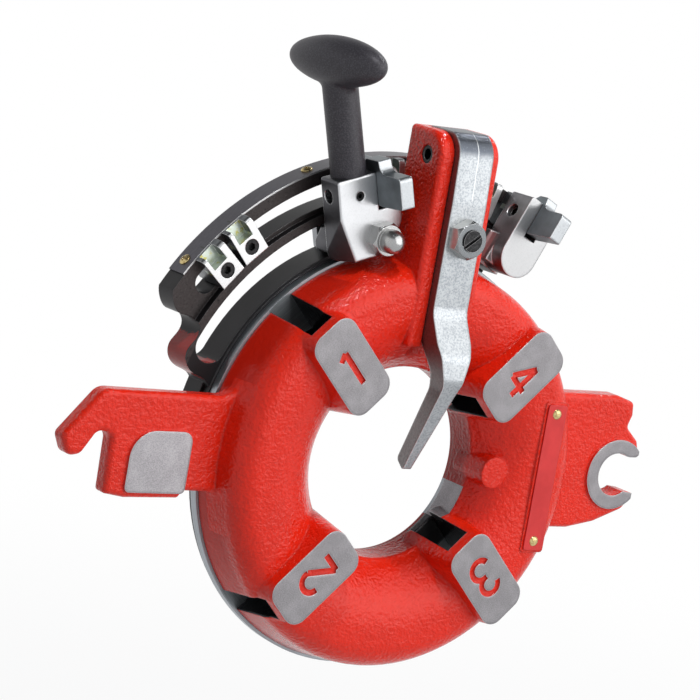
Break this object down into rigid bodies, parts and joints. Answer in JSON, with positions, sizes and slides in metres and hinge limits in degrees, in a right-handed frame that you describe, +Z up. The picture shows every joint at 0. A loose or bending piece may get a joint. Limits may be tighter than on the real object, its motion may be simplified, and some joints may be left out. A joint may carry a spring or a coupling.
{
  "type": "pipe threading die head",
  "caption": "Automatic-opening die head for pipe: slotted ring with pads, cam plate, size ring with adjustable blocks, lever handle and trigger.",
  "frame": {"origin": "on the pipe axis, in the plane of the front faces of the numbered pads", "axes": "+Y along the pipe axis to the back of the head, +Z up along the trigger post, +X to the right seen from the front"},
  "size_m": [0.3823, 0.0901, 0.3469],
  "materials": {
    "red_paint": "thick gloss red paint over a rough casting",
    "machined_steel": "machined steel",
    "ring_casting": "machined casting",
    "block_casting": "machined casting",
    "lever_steel": "forged and ground steel",
    "zinc_plate": "zinc plated steel",
    "black_oxide": "black oxide",
    "brass_plate": "yellow passivated",
    "handle_paint": "matt dark grey"
  },
  "bodies": {
    "head": {"head_casting": "red_paint", "name_plate": "red_paint", "plate_rivets": "brass_plate", "trigger_pivot_pin": "machined_steel", "back_flange": "machined_steel", "flange_screws": "black_oxide"},
    "ring": {"cam_plate": "machined_steel", "cam_screws": "black_oxide", "size_ring": "ring_casting", "size_bar": "zinc_plate", "size_bar_screws": "brass_plate", "set_block_1": "machined_steel", "set_block_2": "machined_steel", "set_block_3": "machined_steel", "set_block_4": "machined_steel", "set_block_5": "machined_steel", "set_block_6": "machined_steel", "set_block_screws": "black_oxide", "set_block_nuts": "machined_steel", "right_block": "zinc_plate", "right_clamp_plate": "zinc_plate", "right_clamp_screw": "black_oxide", "right_catch_pin": "machined_steel"},
    "lever_unit": {"lever_block": "block_casting", "clamp_stud": "zinc_plate", "acorn_nut": "zinc_plate", "left_clamp_plate": "zinc_plate", "handle": "handle_paint", "grub_screw": "black_oxide", "left_catch_pin": "machined_steel"},
    "left_thumb_catch": {"left_catch": "zinc_plate"},
    "right_thumb_catch": {"right_catch": "zinc_plate"},
    "trigger": {"trigger_lever": "lever_steel"},
    "latch": {"latch_pin": "black_oxide", "latch_nut": "zinc_plate"}
  },
  "joints": [
    {"name": "ring_turn", "type": "hinge", "parent": "head", "child": "ring", "pos_m": [0, 0.0566, 0], "axis": [0, 1, 0], "range_deg": [-8.5, 0]},
    {"name": "size_setting", "type": "hinge", "parent": "ring", "child": "lever_unit", "pos_m": [0, 0.045, 0], "axis": [0, 1, 0], "range_deg": [-35.4, 0]},
    {"name": "left_catch_lift", "type": "hinge", "parent": "lever_unit", "child": "left_thumb_catch", "pos_m": [-0.04845, 0.0347, 0.14913], "axis": [0.9511, 0, 0.309], "range_deg": [-10, 8]},
    {"name": "right_catch_lift", "type": "hinge", "parent": "ring", "child": "right_thumb_catch", "pos_m": [0.06666, 0.0327, 0.14038], "axis": [0.9033, 0, -0.4289], "range_deg": [0, 8], "stiffness_Nm_per_rad": 0.1, "springref_deg": -11.46},
    {"name": "trigger_swing", "type": "hinge", "parent": "head", "child": "trigger", "pos_m": [0, 0.0193, 0.1729], "axis": [-1, 0, 0], "range_deg": [0, 7], "stiffness_Nm_per_rad": 2, "springref_deg": -5.73},
    {"name": "latch_slide", "type": "slide", "parent": "head", "child": "latch", "axis": [0, -1, 0], "range_m": [0, 0.0068]}
  ],
  "couplings": [
    {"joint": "latch_slide", "follows": "trigger_swing", "m_per_rad": 0.0545}
  ]
}
